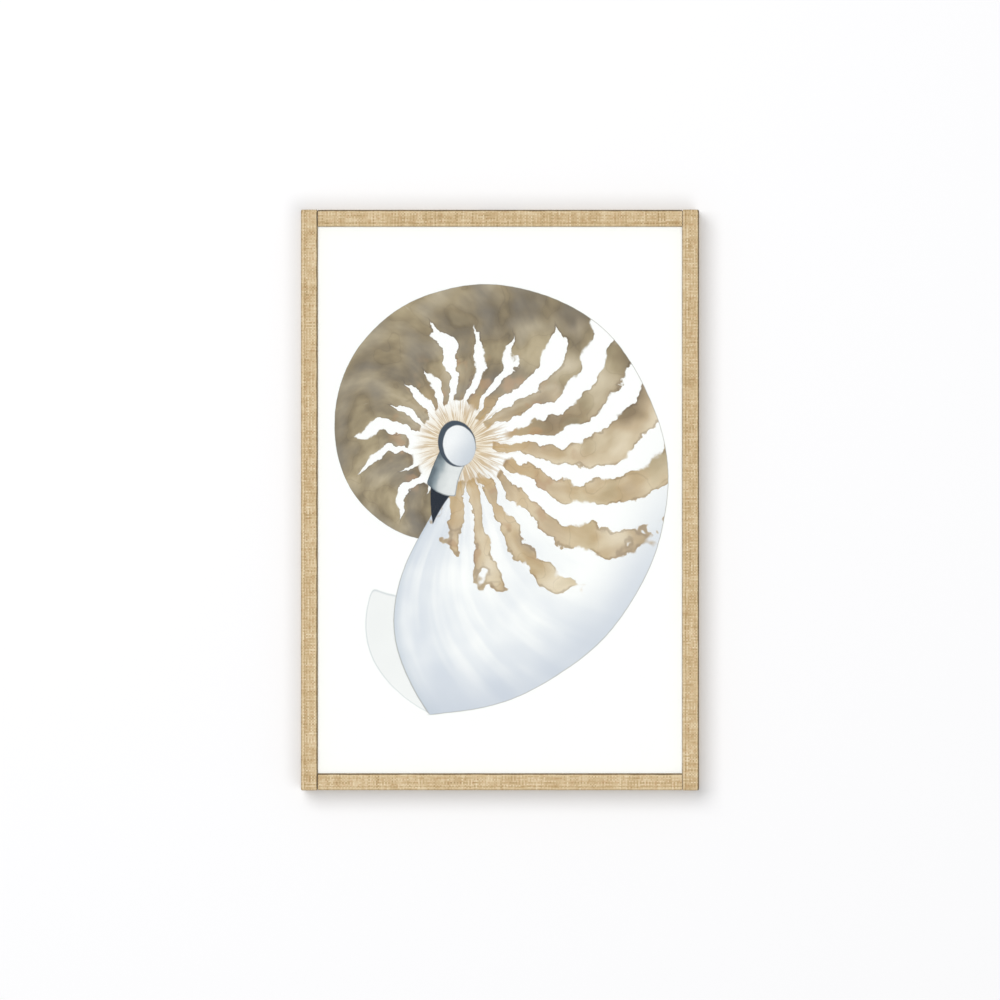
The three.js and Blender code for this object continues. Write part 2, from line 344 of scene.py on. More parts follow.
def wrap_round(cloth, half, stile):
    """The strip from the ledge round the lip, over the face, down the side and on to the back."""
    corners = [(face_width, ledge_depth), (face_width, 0), (0, 0), (0, depth), (FLAP, depth)]
    path = rounded_path(corners, CORNER)
    end = path[0][-1]
    if stile:
        bend = np.linspace(0, math.pi / 2, 5)[1:]
        turned_in = np.append(CORNER * (1 - np.cos(bend)), CORNER + 2 * MM)
        over = np.append(half - CORNER + CORNER * np.sin(bend), half)
        straight = steps(CORNER - half, half - CORNER)
        places = np.concatenate([-over[::-1], straight, over])
        inset = np.concatenate([turned_in[::-1], np.zeros(len(straight)), turned_in])
    else:
        places = steps(-half, half)
        inset = np.zeros(len(places))
    run, thread = np.meshgrid(places, steps(0, end), indexing="ij")

    # Neither the warp nor the weft lies quite straight, except at the strip's ends.
    wander = WANDER * smooth_noise(cloth.seed + 3, run, thread * 0.3, 22 * PITCH)
    wander *= np.clip(np.minimum(thread, end - thread) / (4 * PITCH), 0, 1)
    sway = WANDER * smooth_noise(cloth.seed + 4, thread, run * 0.3, 16 * PITCH)
    sway *= np.clip((half - np.abs(run)) / (6 * PITCH), 0, 1)
    across, back = on_path(path, thread + wander, cloth.height(thread, run) - inset[:, None])
    cloth.patch(across, back, run + sway, thread, run)

    # The cut edge on the back, down to the wood.
    drop = CUT_EDGE * WOOD_UNDER
    spread = np.array([0.0, 0.16, 0.22, 0.2]) * MM
    edge_across = across[:, -1:] + spread
    edge_back = back[:, -1:] - drop
    along = np.repeat((run + sway)[:, -1:], len(drop), axis=1)
    run_there = np.repeat(run[:, -1:], len(drop), axis=1)
    cloth.patch(edge_across, edge_back, along, end + drop + np.zeros_like(along), run_there)

    # The turn on to the ledge, which stops where a stile's rabbet does.
    reach = half - face_width + rabbet_width if stile else half
    run, thread = np.meshgrid(steps(-reach, reach), np.linspace(-rabbet_width, 0, 4), indexing="ij")
    cloth.patch(face_width + thread, np.full_like(run, ledge_depth), run, thread, run)


def fold_end(cloth, end, half, sight_arris):
    """The strip folded over a stile's end and down on to its back, with its sides tucked under,
    and the piece of the strip that lies between the stile and the rail."""
    start = half - CORNER - PITCH
    path = rounded_path([(start, 0), (half, 0), (half, depth), (half - FLAP, depth)], CORNER)
    length, points, normals = path
    tuck = 0.5 * MM
    inner = steps(tuck + STEP / 2, face_width - tuck - STEP / 2)
    places = np.concatenate([[tuck], inner, [face_width - tuck]])
    run, across = np.meshgrid(steps(0, length[-1]), places, indexing="ij")
    thread = sight_arris + face_width - across
    rising = np.clip(run / (CORNER * 1.5), 0, 1)
    tucked = (across == places[0]) | (across == places[-1])
    lift = FOLD_LIFT * rising - 0.15 * MM * (1 - rising) + cloth.height(thread, run) * rising
    lift = np.where(tucked, -0.3 * MM, lift)
    along, back = on_path((length, points, -normals), run, lift)
    middle = face_width / 2
    narrowing = 1 - 1.2 * MM / middle * np.clip((run - depth) / depth, 0, 1)
    across = middle + (across - middle) * narrowing
    drop = CUT_EDGE * (WOOD_UNDER + FOLD_LIFT)
    across = np.concatenate([across, np.repeat(across[-1:], len(drop), axis=0)])
    back = np.concatenate([back, back[-1:] - drop[:, None]])
    along = np.concatenate([along, along[-1:] - drop[:, None] * 0.2])
    thread = np.concatenate([thread, np.repeat(thread[-1:], len(drop), axis=0)])
    run = np.concatenate([run, run[-1:] + drop[:, None]])
    order = slice(None, None, -1 if end > 0 else 1)
    grids = (across, back, end * along, thread, end * (run + start))
    cloth.patch(*[grid[:, order] for grid in grids])

    low = half - face_width + rabbet_width
    down_end = np.linspace(low, half - CORNER, 9)
    down_side = np.linspace(ledge_depth, depth - CORNER / 2, 12)
    run, back = np.meshgrid(down_end, down_side, indexing="ij")
    run, back = run[:, order], back[:, order]
    cloth.patch(np.full_like(run, face_width), back, end * run, ledge_depth - back, end * run)


face_arc = face_width - 2 * CORNER + CORNER * math.pi / 2


def linen():
    """Plain weave drawn on the strip's own coordinates: warp and weft threads, each of its own
    tone, thicker in places, with painted highlights and painted shade along its face's arrises."""
    material, place = new_material("natural_linen")
    run_across, run_along, _ = place.node("UVMap", {"uv_map": "weave"}).split()
    wobble = place.noise(160, 2.0)
    u = run_across / PITCH + wobble * 0.35
    v = run_along / PITCH + place.noise(190, 2.0) * 0.35
    warp_wave, weft_wave = (u * math.pi).math("SINE"), (v * math.pi).math("SINE")
    warp_round, weft_round = abs(warp_wave) ** 0.6, abs(weft_wave) ** 0.6
    warp_high = warp_round * (warp_wave.math("SIGN") * weft_wave * 0.5 + 0.5)
    weft_high = weft_round * (0.5 - weft_wave.math("SIGN") * warp_wave * 0.5)
    height = warp_high.math("MAXIMUM", weft_high)
    warp_over = (warp_high - weft_high).rise(-0.05, 0.05)

    shades, twists = [], []
    for own, other in ((u, v), (v, u)):
        thread = own.math("FLOOR")
        tone = thread.node("TexWhiteNoise", {"noise_dimensions": "1D"}, {"W": thread})
        slub = vector(thread * 3.7, other * 0.07, 0.0).noise(1.0, 3.0, 0.6)
        shades.append(tone * 0.45 + slub.rise(0.3, 0.72) * 0.75)
        twists.append(((own * 8 + other * 5) * math.pi).math("SINE") * 0.5 + 0.5)
    twist = warp_over.between(twists[1], twists[0])
    shade = warp_over.between(shades[1], shades[0]) * 0.62 + place.noise(70, 3.0) * 0.38
    fibre = place.noise(3800, 3.0, 0.7)
    shade = shade + (fibre - 0.5) * 0.35 + (twist - 0.5) * 0.12
    stops = [
        (0.06, rgb(156, 130, 88)),
        (0.34, rgb(194, 167, 123)),
        (0.62, rgb(216, 193, 153)),
        (0.96, rgb(238, 222, 190)),
    ]
    colour = shade.node("ValToRGB", {"stops": stops}, {"Fac": shade})
    rosy = place.noise(260, 2.0).rise(0.45, 0.75) * 0.35
    colour = painted(rosy, colour, rgb(222, 184, 150), "MULTIPLY")
    # Painted shade: darker where the weave is low, in the hollows between the threads.
    colour = painted(height.rise(0.42, 0.1) * 0.38, colour, rgb(128, 102, 62))

    from_dark = place.node("Attribute", {"attribute_name": "from_dark_edge"}, output="Fac")
    dashes = vector(run_along, 0.0, 0.0).noise(300, 2.0).rise(0.4, 0.6)
    # Painted highlights: a light band just inside each arris of the face, as if its rounded edges caught
    # the light.
    colour = painted(from_dark.bell(2.2 * MM, 0.55 * MM) * 0.5, colour, rgb(238, 216, 172))
    colour = painted((face_arc - from_dark).bell(1.6 * MM, 0.6 * MM) * 0.4, colour, rgb(236, 216, 174))
    line = (face_arc - from_dark).bell(3.6 * MM, 0.6 * MM) * (dashes * 0.7 + 0.3)
    colour = painted(line * 0.8, colour, rgb(158, 126, 74))
    # Painted shade: greyer where the face turns over its far arris, and a dark line over the arris at the
    # strip's dark edge, as if that edge were turned from the light.
    shaded = (face_arc - from_dark).bell(-0.3 * MM, 0.8 * MM)
    colour = painted(shaded * 0.45, colour, rgb(146, 128, 98))
    painted_arris_shade = from_dark.bell(0.3 * MM, 1.1 * MM)
    colour = painted(painted_arris_shade, colour, rgb(72, 55, 28))
    normal = relief(height + fibre * 0.25 + twist * 0.12, 0.35 * MM, 0.6)
    sockets = {"Base Color": colour, "Roughness": 0.92, "Normal": normal}
    finish_with(place, {**sockets, "Sheen Weight": 0.15, "Sheen Roughness": 0.5})
    return material


linen_cloth = linen()
# Where the two arrises of the face lie across the strip.
sight_arris = ledge_depth - CORNER + CORNER * math.pi / 4
outer_arris = sight_arris + face_arc
# Each member's turn, the middle of its outer edge, its length, and the edge of its face along
# which the dark line of painted shade runs.
members = [
    ("left_stile", 0, (left_low.x, centre_z), outer_height, "sight"),
    ("top_rail", math.pi / 2, (centre_x, left_high.z), rail_high.x - rail_low.x, "outer"),
    ("right_stile", math.pi, (centre_x + outer_width / 2, centre_z), outer_height, "outer"),
    ("bottom_rail", -math.pi / 2, (centre_x, left_low.z), rail_high.x - rail_low.x, "sight"),
]
for number, (name, turn, corner, length, dark_edge) in enumerate(members):
    stile = name.endswith("stile")
    dark_at, dark_side = (sight_arris, 1) if dark_edge == "sight" else (outer_arris, -1)
    cloth = Cloth(10 * number, dark_at, dark_side)
    wrap_round(cloth, length / 2, stile)
    if stile:
        fold_end(cloth, -1, length / 2, sight_arris)
        fold_end(cloth, 1, length / 2, sight_arris)
    wrap = cloth.placed(name + "_wrap", turn, corner)
    wrap.data.materials.append(linen_cloth)
    cut_length = length + 2 * (depth + FLAP) if stile else length
    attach(wrap, "root")
    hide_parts(name + "_linen")


# Frayed ends. Where the linen is trimmed on the back, the cut threads stand out past its edge and
# lie down on the bare wood.
def new_tree(name, inputs):
    """The wires of a new Geometry Nodes tree's inputs: its geometry and then the named ones."""
    tree = bpy.data.node_groups.new(name, "GeometryNodeTree")
    tree.interface.new_socket("Geometry", in_out="OUTPUT", socket_type="NodeSocketGeometry")
    for label, kind in {"Geometry": "Geometry", **inputs}.items():
        tree.interface.new_socket(label, in_out="INPUT", socket_type="NodeSocket" + kind)
    given = tree.nodes.new("NodeGroupInput")
    return [Wire(socket) for socket in given.outputs if socket.name]


def grown(name, shape, finish, values, base=None):
    """Ends a tree in its shape and finish, and keeps what it grows on a mesh as a plain object."""
    real = shape.node("GeometryNodeRealizeInstances", {}, {"Geometry": shape})
    coated = real.node("GeometryNodeSetMaterial", {}, {"Geometry": real, "Material": finish})
    tree = shape.tree
    tree.links.new(coated.socket, tree.nodes.new("NodeGroupOutput").inputs[0])
    seed = mesh_object(name + "_seed", base or bpy.data.meshes.new(name + "_seed"))
    modifier = seed.modifiers.new("nodes", "NODES")
    modifier.node_group = tree
    for item in tree.interface.items_tree:
        if item.in_out == "INPUT" and item.name in values:
            modifier[item.identifier] = values[item.name]
    evaluated = seed.evaluated_get(bpy.context.evaluated_depsgraph_get())
    mesh = bpy.data.meshes.new_from_object(evaluated)
    mesh.name = name
    bpy.data.objects.remove(seed)
    return mesh_object(name, mesh)


def cut_edges():
    """The linen's trimmed edges on the back, as lines that know which way their threads point."""
    points, turns = [], []
    for name, turn, corner, length, _ in members:
        half = length / 2
        stile = name.endswith("stile")
        reach = half - FLAP if stile else half
        lines = [((FLAP, -reach), (FLAP, reach), 0)]
        if stile:
            near, far = CORNER, face_width - CORNER
            lines.append(((near, reach), (far, reach), math.pi / 2))
            lines.append(((near, -reach), (far, -reach), -math.pi / 2))
        for start, end, further in lines:
            for across, along in (start, end):
                x = corner[0] + across * math.cos(turn) + along * math.sin(turn)
                z = corner[1] - across * math.sin(turn) + along * math.cos(turn)
                points.append((x, face_y + depth - GLUE_GAP, z))
                turns.append(turn + further)
    mesh = bpy.data.meshes.new("cut_edges")
    mesh.from_pydata(points, [(first, first + 1) for first in range(0, len(points), 2)], [])
    mesh.attributes.new("turn", "FLOAT", "POINT").data.foreach_set("value", turns)
    return mesh


def frayed_ends(thread_finish):
    inputs = {"Pitch": "Float", "Length": "Float", "Radius": "Float", "Drop": "Float"}
    asked = new_tree("frayed_ends", {**inputs, "Seed": "Int", "Thread": "Material"})
    edges, pitch, length, radius, drop, seed, finish = asked
    line = edges.node("GeometryNodeMeshToCurve", {}, {"Mesh": edges})
    ends = line.node("GeometryNodeCurveToPoints", {"mode": "LENGTH"}, {"Curve": line, "Length": pitch})
    arc = {
        "Resolution": 4,
        "Start": vector(length * -0.3, 0.0, 0.0),
        "Middle": vector(length * 0.3, 0.0, 0.0),
        "End": vector(length, drop * -1, length * 0.2),
    }
    hair = length.node("GeometryNodeCurveQuadraticBezier", {}, arc)
    round_section = {"Resolution": 5, "Radius": radius}
    ring = length.node("GeometryNodeCurvePrimitiveCircle", {"mode": "RADIUS"}, round_section)
    tube = {"Curve": hair, "Profile Curve": ring, "Fill Caps": True}
    thread = hair.node("GeometryNodeCurveToMesh", {}, tube)
    plain_number = {"data_type": "FLOAT"}
    turn = edges.node("GeometryNodeInputNamedAttribute", plain_number, {"Name": "turn"})
    swings = {"Min": -0.55, "Max": 0.45, "Seed": seed}
    swing = seed.node("FunctionNodeRandomValue", plain_number, swings)
    sizes = {"Min": 0.25, "Max": 1.0, "Seed": seed + 7}
    size = seed.node("FunctionNodeRandomValue", plain_number, sizes)
    placed = {
        "Points": ends,
        "Instance": thread,
        "Rotation": vector(0.0, turn + swing, 0.0),
        "Scale": size,
    }
    shape = ends.node("GeometryNodeInstanceOnPoints", {}, placed)
    values = {
        "Pitch": PITCH * 0.75,
        "Length": 2.6 * MM,
        "Radius": 0.15 * MM,
        "Drop": WOOD_UNDER - 0.5 * MM,
        "Seed": 5,
        "Thread": thread_finish,
    }
    return grown("frayed_ends", shape, finish, values, cut_edges())


def loose_thread():
    material, place = new_material("loose_linen_thread")
    tone = place.noise(320, 2.0)
    fibre = place.noise(4200, 2.0)
    colour = painted(tone.rise(0.35, 0.65), rgb(194, 166, 120), rgb(232, 211, 172))
    sockets = {"Base Color": colour, "Roughness": fibre * 0.15 + 0.8, "Normal": relief(fibre, 0.06 * MM)}
    finish_with(place, sockets)
    return material


fray = frayed_ends(loose_thread())
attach(fray, "root")


# Corner fasteners. A strip of corrugated steel is driven across each corner joint from the back,
# through the linen, until its edge is flush with the cloth.
def plated_steel(name, colour):
    """Zinc-plated steel: fine scratches and a mottled brightness."""
    material, place = new_material(name)
    x, y, z = place.split()
    scratch = vector(x * 40, y * 900, z * 900).noise(1.0, 2.0)
    cloud = place.noise(420, 3.0)
    tone = painted(cloud.rise(0.3, 0.7), rgb(*colour), rgb(*[value * 0.86 for value in colour]))
    rough = scratch * 0.2 + cloud * 0.12 + 0.2
    normal = relief(scratch + cloud, 0.02 * MM)
    finish_with(place, {"Base Color": tone, "Roughness": rough, "Metallic": 1.0, "Normal": normal})
    return material


def corrugated_strips(steel):
    numbers = ("Length", "Height", "Thickness", "Wave", "Pitch", "Half Width", "Half Height")
    inputs = {**dict.fromkeys(numbers, "Float"), "Centre": "Vector", "Steel": "Material"}
    asked = new_tree("corrugated_strips", inputs)
    _, length, height, thickness, wave, pitch, half_width, half_height, centre, finish = asked
    straight = {"Direction": (1, 0, 0), "Length": length}
    line = length.node("GeometryNodeCurvePrimitiveLine", {"mode": "DIRECTION"}, straight)
    fine = line.node("GeometryNodeResampleCurve", {"mode": "COUNT"}, {"Curve": line, "Count": 89})
    along = fine.node("GeometryNodeInputPosition").split()[0] - length / 2
    swing = (along / pitch * (2 * math.pi)).math("SINE") * wave
    swung = {"Geometry": fine, "Position": vector(along, swing, 0.0)}
    waved = fine.node("GeometryNodeSetPosition", {}, swung)
    upright = waved.node("GeometryNodeSetCurveNormal", {"mode": "Z_UP"}, {"Curve": waved})
    section = {"Width": thickness, "Height": height}
    band = length.node("GeometryNodeCurvePrimitiveQuadrilateral", {"mode": "RECTANGLE"}, section)
    rounding = {"Curve": band, "Radius": 0.15 * MM, "Count": 2}
    soft = band.node("GeometryNodeFilletCurve", {"mode": "POLY"}, rounding)
    strip = {"Curve": upright, "Profile Curve": soft, "Fill Caps": True}
    strip = upright.node("GeometryNodeCurveToMesh", {}, strip)
    driven = {
        "Geometry": strip,
        "Translation": vector(0.0, height * -0.5, 0.0),
        "Rotation": (math.pi / 2, 0, 0),
    }
    driven = strip.node("GeometryNodeTransform", {}, driven)
    four_points = {"Size X": 2.0, "Size Y": 2.0, "Vertices X": 2, "Vertices Y": 2}
    grid = length.node("GeometryNodeMeshGrid", {}, four_points)
    side, row, _ = grid.node("GeometryNodeInputPosition").split()
    offset = vector(side * half_width, 0.0, row * half_height)
    where = offset.node("VectorMath", {"operation": "ADD"}, {0: offset, 1: centre})
    corners = grid.node("GeometryNodeSetPosition", {}, {"Geometry": grid, "Position": where})
    shape = corners.node("GeometryNodeInstanceOnPoints", {}, {"Points": corners, "Instance": driven})

    low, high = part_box("corner_fastener_top_left")
    far_low, far_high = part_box("corner_fastener_bottom_right")
    proud = high.y + FOLD_LIFT + 0.25 * MM
    values = {
        "Length": high.x - low.x,
        "Height": high.y - low.y,
        "Thickness": 0.8 * MM,
        "Wave": (high.z - low.z) / 2 - 0.4 * MM,
        "Pitch": 6 * MM,
        "Half Width": (far_low.x + far_high.x - low.x - high.x) / 4,
        "Half Height": (low.z + high.z - far_low.z - far_high.z) / 4,
        "Centre": (centre_x, proud, (low.z + high.z + far_low.z + far_high.z) / 4),
        "Steel": steel,
    }
    return grown("corner_fasteners", shape, finish, values)


def stands_for(piece, slot, *nodes):
    """Fixes a piece to the frame in the place of these CAD nodes."""
    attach(piece, "root")
    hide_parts(*nodes)


bright_steel = plated_steel("bright_steel", (186, 188, 190))
corners = [f"corner_fastener_{row}_{side}" for row in ("top", "bottom") for side in ("left", "right")]
stands_for(corrugated_strips(bright_steel), "steel", *corners)


# Glass pane. Clear picture glass with a low-glare coating and ground edges, resting in the rabbet
# on the linen.
def eased(name, node, width, material):
    """A CAD node's shape with its sharp edges taken off, as a new mesh object."""
    build = bmesh.new()
    build.from_mesh(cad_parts[node].data)
    bmesh.ops.remove_doubles(build, verts=build.verts, dist=0.001 * MM)
    bmesh.ops.dissolve_limit(build, angle_limit=math.radians(1), verts=build.verts, edges=build.edges)
    closed = [edge for edge in build.edges if edge.is_manifold]
    sharp = [edge for edge in closed if edge.calc_face_angle() > math.radians(30)]
    taken_off = {"offset": width, "segments": 2, "profile": 0.5, "clamp_overlap": True}
    bmesh.ops.bevel(build, geom=sharp, affect="EDGES", **taken_off)
    mesh = bpy.data.meshes.new(name)
    build.to_mesh(mesh)
    build.free()
    mesh.materials.append(material)
    mesh.shade_smooth()
    mesh.set_sharp_from_angle(angle=math.radians(25))
    return mesh_object(name, mesh)


def clear_glass():
    material, place = new_material("low_glare_glass")
    facing = place.node("LayerWeight", {}, {"Blend": 0.5}, "Facing")
    mirror = facing**5 * 0.9 + 0.012
    clear = place.node("BsdfTransparent", {}, {"Color": (0.995, 1.0, 0.998, 1.0)})
    gloss = place.node("BsdfGlossy", {}, {"Color": (1.0, 1.0, 1.0, 1.0), "Roughness": 0.03})
    mixed = place.node("MixShader", {}, {0: mirror, 1: clear, 2: gloss})
    place.node("OutputMaterial", {}, {"Surface": mixed})
    return material


pane = eased("clear_pane", "glass_pane", 0.3 * MM, clear_glass())
stands_for(pane, "glass", "glass_pane")


# Art print. A watercolour study of a nautilus on heavy white paper: a coil seen from the side,
# with brown stripes on its older whorl and a pale body chamber that opens at the lower left.
print_low, print_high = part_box("art_print")
COIL_LEFT = -46
COIL_UP = 60
LIP_SIZE = 302
TIGHTENING = 0.165
LIP_ANGLE = math.radians(-100)
LIP_BULGE = 0.23
LIP_BEND = 3.456
STRIPES_PER_TURN = 20
OLD_WHORL_TURN = 0.6
NECK_LEAN = math.radians(24)


def stretched(place, centre, size, turn=0.0):
    """How far out a point is in an ellipse given in millimetres: 1 on its edge."""
    sockets = {
        "Vector": place,
        "Location": (centre[0], 0, centre[1]),
        "Rotation": (0, turn, 0),
        "Scale": (size[0], 1, size[1]),
    }
    laid = place.node("Mapping", {"vector_type": "TEXTURE"}, sockets)
    return laid.node("VectorMath", {"operation": "LENGTH"}, {0: laid}, "Value")


def shaken(place, scale, amount, detail=2.0):
    """The same place moved about by noise, as a hand wavers or a wash creeps."""
    noise = place.node("TexNoise", {}, {"Vector": place, "Scale": scale, "Detail": detail}, "Color")
    half = (-amount / 2,) * 3
    shift = place.node("VectorMath", {"operation": "MULTIPLY_ADD"}, {0: noise, 1: (amount,) * 3, 2: half})
    flat = place.node("VectorMath", {"operation": "MULTIPLY"}, {0: shift, 1: (1.0, 0.0, 1.0)})
    return place.node("VectorMath", {"operation": "ADD"}, {0: place, 1: flat})


def random_of(number, salt):
    return number.node("TexWhiteNoise", {"noise_dimensions": "1D"}, {"W": number + salt})


def washes(drawn, age, share, into_paint, softness):
    """The paint that fills the stripes: umber on the old whorl and ochre towards the lip, with the
    dark rims and tide marks that wet paint leaves. Its tide marks and grain come with it."""
    pool = shaken(drawn, 1 / 30, 12.0, 2.0).noise(1 / 58, 2.0, 0.45)
    stroke = vector(age * 4.2, share * 3.4, 0.0).noise(1.0, 3.0, 0.55)
    bloom = pool * 0.55 + stroke * 0.45
    tide = shaken(drawn, 1 / 14, 8.0, 3.0).noise(1 / 40, 1.0)
    grain = drawn.noise(1.0, 3.0, 0.75)
    umber_stops = [
        (0.34, rgb(190, 174, 142)),
        (0.43, rgb(162, 145, 111)),
        (0.50, rgb(136, 119, 86)),
        (0.57, rgb(112, 96, 66)),
        (0.66, rgb(88, 74, 50)),
    ]
    ochre_stops = [
        (0.34, rgb(231, 216, 189)),
        (0.45, rgb(214, 195, 161)),
        (0.53, rgb(194, 168, 126)),
        (0.64, rgb(166, 139, 97)),
    ]
    umber = bloom.node("ValToRGB", {"stops": umber_stops}, {"Fac": bloom})
    ochre = bloom.node("ValToRGB", {"stops": ochre_stops}, {"Fac": bloom})
    wash = painted((age + share * 0.6 + (tide - 0.5) * 1.8).rise(2.0, 3.2), ochre, umber)
    inward = share.rise(0.52, 0.26) * (tide - 0.1).rise(0.25, 0.5)
    wash = painted(inward * 0.7, wash, rgb(198, 168, 124))
    rust = drawn.noise(1 / 26, 2.0).rise(0.55, 0.66) * share.rise(0.7, 0.45)
    wash = painted(rust * 0.6, wash, rgb(176, 134, 88))
    wash = painted(tide.rise(0.56, 0.66) * 0.25, wash, rgb(200, 186, 156))
    wash = painted(tide.bell(0.55, 0.008) * 0.2, wash, rgb(130, 112, 84), "MULTIPLY")
    wet_edge = into_paint.bell(0.025, 0.03)
    wash = painted(wet_edge * (1 - softness * 14) * 0.5, wash, rgb(150, 128, 96), "MULTIPLY")
    wash = painted((grain - 0.5) * 0.5, wash, rgb(110, 92, 64), "MULTIPLY")
    return wash, tide, grain


def with_callus(colour, drawn, cloud):
    """The callus that plugs the middle, its fold running down to the left, and the dark hollow
    that it ends in, laid over a colour."""
    x, _, z = drawn.split()
    down = x * -math.sin(NECK_LEAN) + z * -math.cos(NECK_LEAN)
    over = x * math.cos(NECK_LEAN) + z * -math.sin(NECK_LEAN) - (down - 20) * (down - 20) * 0.0035
    hollow_half = (90 - down) * 0.3
    hollow = (hollow_half - abs(over + (down - 50) * 0.16)) / 3
    hollow = hollow.math("MINIMUM", (down - 46) / 3)
    colour = painted(hollow.rise(-0.2, 0.2), colour, rgb(44, 50, 60))
    fold_half = (down - 24) * (down - 24) * 0.002 + 15.5
    fold = (fold_half - abs(over)) / 3
    fold = fold.math("SMOOTH_MIN", (over * over * -0.014 + 55 - down) / 3, 1.2)
    fold = fold.math("MINIMUM", (down + 6) / 3)
    on_fold = fold.rise(-0.15, 0.15)
    shine = (over + (cloud - 0.5) * 20).rise(-13, 12) + (drawn.noise(1 / 12, 2.0) - 0.5) * 0.5
    fold_stops = [
        (0.0, rgb(104, 116, 124)),
        (0.3, rgb(150, 161, 167)),
        (0.6, rgb(205, 209, 210)),
        (1.0, rgb(229, 231, 231)),
    ]
    colour = painted(on_fold, colour, shine.node("ValToRGB", {"stops": fold_stops}, {"Fac": shine}))
    colour = painted(fold.bell(0.1, 0.3) * on_fold * 0.7, colour, rgb(78, 90, 100))
    outline = stretched(drawn, (-1.5, 1.5), (20.5, 25), math.radians(-14))
    colour = painted(outline.rise(1.03, 0.97), colour, rgb(74, 84, 96))
    plug = stretched(drawn, (1.2, -0.5), (17.6, 22), math.radians(-14))
    white = (x - z * 0.4 + (cloud - 0.5) * 30).rise(22, -12)
    colour = painted(plug.rise(1.03, 0.96), colour, painted(white, rgb(206, 212, 220), rgb(243, 244, 246)))
    return colour


def watercolour():
    material, place = new_material("watercolour_on_paper")
    # Millimetres from the middle of the coil, flat on the sheet.
    middle_z = (print_low.z + print_high.z) / 2
    coil = place.node(
        "Mapping",
        {},
        {
            "Vector": place,
            "Location": (-COIL_LEFT, 0, -COIL_UP - middle_z / MM),
            "Scale": (1 / MM, 0, 1 / MM),
        },
    )
    drawn = shaken(shaken(coil, 1 / 90, 6.0, 0.0), 1 / 7, 0.8)
    x, _, z = drawn.split()
    radius = drawn.node("VectorMath", {"operation": "LENGTH"}, {0: drawn}, "Value")
    turn = (z.math("ARCTAN2", x) - LIP_ANGLE).math(
        "WRAP", 2 * math.pi - OLD_WHORL_TURN, -OLD_WHORL_TURN
    )

    # The newest turn lies over the older one: how far out a point is on each, and its age.
    share_new = radius / ((turn * -TIGHTENING).math("EXPONENT") * LIP_SIZE)
    age_new = turn + (share_new * LIP_BEND).math("SINE") * LIP_BULGE
    share_old = share_new * math.exp(2 * math.pi * TIGHTENING)
    age_old = turn + 2 * math.pi + (share_old * LIP_BEND).math("SINE") * LIP_BULGE
    on_new = share_new.rise(1.001, 0.999) * age_new.rise(-0.002, 0.002)
    share = on_new.between(share_old, share_new)
    age = on_new.between(age_old, age_new)
    inside = on_new.math("MAXIMUM", share_old.rise(1.002, 0.998))

    # Stripes of paint with gaps of bare paper between them. Each gap runs out at its own length
    # on the old whorl, and each stripe starts at its own distance from the middle.
    waver = (drawn.noise(1 / 32, 1.0) - 0.5) * 1.4 + (drawn.noise(1 / 8, 2.0, 0.5) - 0.5) * 0.5
    creep = waver * (radius / 80 + 0.375) ** -1
    phase = age * (STRIPES_PER_TURN / (2 * math.pi)) + creep
    gap = phase.math("FLOOR")
    stripe = (phase + 0.5).math("FLOOR")
    old = age.rise(1.9, 3.1)
    gap_end = old.between(1.6, random_of(gap, 0.5) * 0.38 + 0.56)
    gap_half = random_of(gap, 3.5) * 0.12 + 0.15
    taper = (gap_end - share).rise(-0.02, 0.24)
    opening = gap_half * taper * share.rise(0.08, 0.3) - (1 - taper) * 0.06
    into_paint = abs(phase.math("FRACT") - 0.5) - opening
    start = random_of(stripe, 11.5) * 20 + 34
    into_paint = into_paint.math("SMOOTH_MIN", (radius - start + (creep * 12)) * 0.009, 0.12)
    blotch = drawn.noise(1 / 20, 2.0, 0.5)
    from_limit = age - share * 1.64 + 0.32 + (blotch - 0.5) * 0.9
    into_paint = into_paint.math("SMOOTH_MIN", from_limit * 0.5, 0.08)
    softness = drawn.noise(1 / 38, 1.0).rise(0.5, 0.66) * 0.07
    striped = into_paint.rise(-0.004, softness + 0.012) * inside

    wash, tide, grain = washes(drawn, age, share, into_paint, softness)

    # The body chamber's pale grey-blue. It is streaked along the shell's growth, and deeper at
    # the opening and along the outer edge.
    streak = vector(age * 9, share * 1.6, 0.0).noise(1.0, 2.0, 0.5)
    cloud = drawn.noise(1 / 60, 2.0)
    front = (1.55 - age).rise(0.0, 1.1) * on_new
    pearl = cloud.rise(0.3, 0.7) * 0.4 + streak.rise(0.62, 0.4) * 0.35 + age.rise(0.5, 0.0) * 0.3
    paper = painted(place.noise(2600, 3.0, 0.7).rise(0.3, 0.8), rgb(254, 254, 253), rgb(251, 251, 249))
    colour = painted(pearl * front, paper, rgb(217, 222, 230))
    colour = painted(streak.rise(0.6, 0.7) * front * 0.6, colour, rgb(248, 248, 249))
    rim = share.rise(0.74, 1.0) * (share.rise(0.7, 1.0) * 0.5 + 0.5) * on_new * age.rise(1.9, 0.9)
    colour = painted(rim * 0.7, colour, rgb(198, 205, 217))
    lip_shade = age_new.bell(0.0, 0.05) * on_new
    colour = painted(lip_shade * 0.5, colour, rgb(188, 198, 210))
    density = (tide.rise(0.3, 0.7) * 0.12 + 0.84) * striped
    colour = painted(density, colour, wash)

    # The far side of the opening, just seen past the lip.
    reach = (share_new - 0.55) / 0.44
    inner = age_new + (1 - reach * reach * reach) * 0.155
    inner = inner.math("SMOOTH_MIN", (share_new - 0.57) * 0.9, 0.04)
    far = inner.rise(-0.002, 0.002) * age_new.rise(0.002, -0.002) * share_old.rise(0.99, 1.01)
    colour = painted(far * (cloud * 0.5 + 0.3), colour, rgb(233, 234, 234))
    far_edge = inner.bell(0.0, 0.004) * age_new.rise(0.002, -0.002) * share_old.rise(0.99, 1.01)
    colour = painted(far_edge * 0.5, colour, rgb(176, 184, 190))

